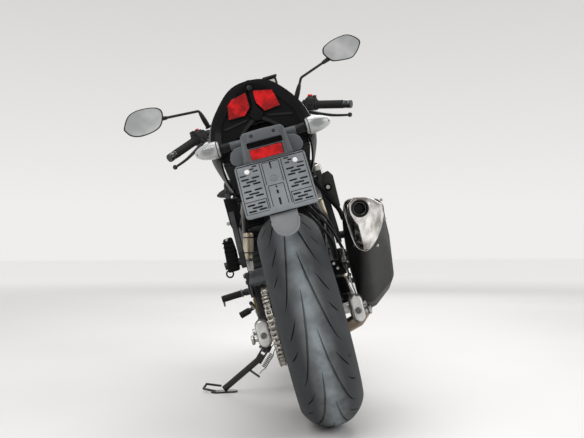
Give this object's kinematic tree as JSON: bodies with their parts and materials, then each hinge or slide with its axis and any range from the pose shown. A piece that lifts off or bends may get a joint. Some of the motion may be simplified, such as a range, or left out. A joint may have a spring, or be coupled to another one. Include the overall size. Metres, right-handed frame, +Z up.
{
  "type": "naked motorcycle",
  "caption": "Naked roadster motorcycle parked on its side stand, with wheels that spin, steering that turns and a stand that folds.",
  "frame": {"origin": "centre of the bottom of the bounding box, on the floor between the wheels", "axes": "+Y is the direction of travel, +X is the rider's right and +Z is up from the floor; the bike is leaned 14.7 degrees left on the side stand, steering 6.7 degrees left"},
  "size_m": [0.9988, 2.1724, 1.4037],
  "materials": {
    "black_paint": "satin",
    "cast_alloy": "satin",
    "steel": "satin",
    "black_alloy": "satin",
    "bronze_cover": "satin",
    "radiator_black": "matte",
    "matte_black": "matte",
    "exhaust_steel": "satin",
    "silencer_black": "matte",
    "chrome": "polished",
    "gloss_black": "gloss",
    "seat_vinyl": "matte",
    "red_lens": "gloss",
    "grey_plastic": "matte",
    "clear_lens": "gloss",
    "spring_steel": "satin",
    "grip_rubber": "matte",
    "mirror_face": "polished",
    "lamp_glass": "gloss",
    "tyre_rubber": "matte"
  },
  "bodies": {
    "chassis": {"frame": "black_paint", "swingarm": "black_paint", "swingarm_fittings": "cast_alloy", "rear_axle": "steel", "engine_block": "black_alloy", "engine_covers": "bronze_cover", "radiator": "radiator_black", "intake": "matte_black", "exhaust_pipes": "exhaust_steel", "muffler": "silencer_black", "muffler_cap": "chrome", "fuel_tank": "gloss_black", "fuel_cap": "steel", "tank_shrouds": "gloss_black", "rider_seat": "seat_vinyl", "pillion_seat": "seat_vinyl", "tail_cowl": "gloss_black", "tail_panel": "matte_black", "rear_lenses": "red_lens", "rear_fender": "grey_plastic", "plate_bracket": "grey_plastic", "undertray": "matte_black", "side_covers": "matte_black", "signal_lenses": "clear_lens", "footpegs": "black_alloy", "foot_controls": "black_paint", "rear_shock": "spring_steel", "chain": "steel", "chain_guard": "grey_plastic", "rear_caliper": "black_alloy", "rear_brake_hose": "grip_rubber"},
    "steering": {"triple_clamps": "black_alloy", "fork_tubes": "black_alloy", "fork_stanchions": "chrome", "fork_feet": "black_alloy", "front_axle": "steel", "front_calipers": "black_alloy", "front_mudguard": "gloss_black", "handlebar": "black_paint", "grips": "grip_rubber", "switchgear": "matte_black", "levers": "black_alloy", "mirrors": "matte_black", "mirror_glasses": "mirror_face", "headlight": "matte_black", "headlight_lens": "lamp_glass", "instrument": "matte_black", "front_signals": "clear_lens"},
    "front_wheel": {"front_tyre": "tyre_rubber", "front_rim": "black_alloy", "front_discs": "steel"},
    "rear_wheel": {"rear_tyre": "tyre_rubber", "rear_rim": "black_alloy", "rear_disc": "steel", "rear_sprocket": "steel"},
    "side_stand": {"side_stand": "black_paint", "stand_spring": "spring_steel"}
  },
  "joints": [
    {"name": "steering_turn", "type": "hinge", "parent": "chassis", "child": "steering", "pos_m": [0.10121, 0.50859, 0.78773], "axis": [-0.2288, -0.4255, 0.8756], "range_deg": [-36.7, 23.3]},
    {"name": "front_wheel_spin", "type": "hinge", "parent": "steering", "child": "front_wheel", "pos_m": [0.22737, 0.78793, 0.28907], "axis": [0.9482, 0.1061, 0.2994], "continuous": true},
    {"name": "rear_wheel_spin", "type": "hinge", "parent": "chassis", "child": "rear_wheel", "pos_m": [0.22741, -0.66682, 0.30782], "axis": [0.9674, 0.0005, 0.2531], "continuous": true},
    {"name": "side_stand_fold", "type": "hinge", "parent": "chassis", "child": "side_stand", "pos_m": [0.09053, -0.15914, 0.15825], "axis": [-0.863, 0.0011, 0.5051], "range_deg": [0, 96]}
  ]
}
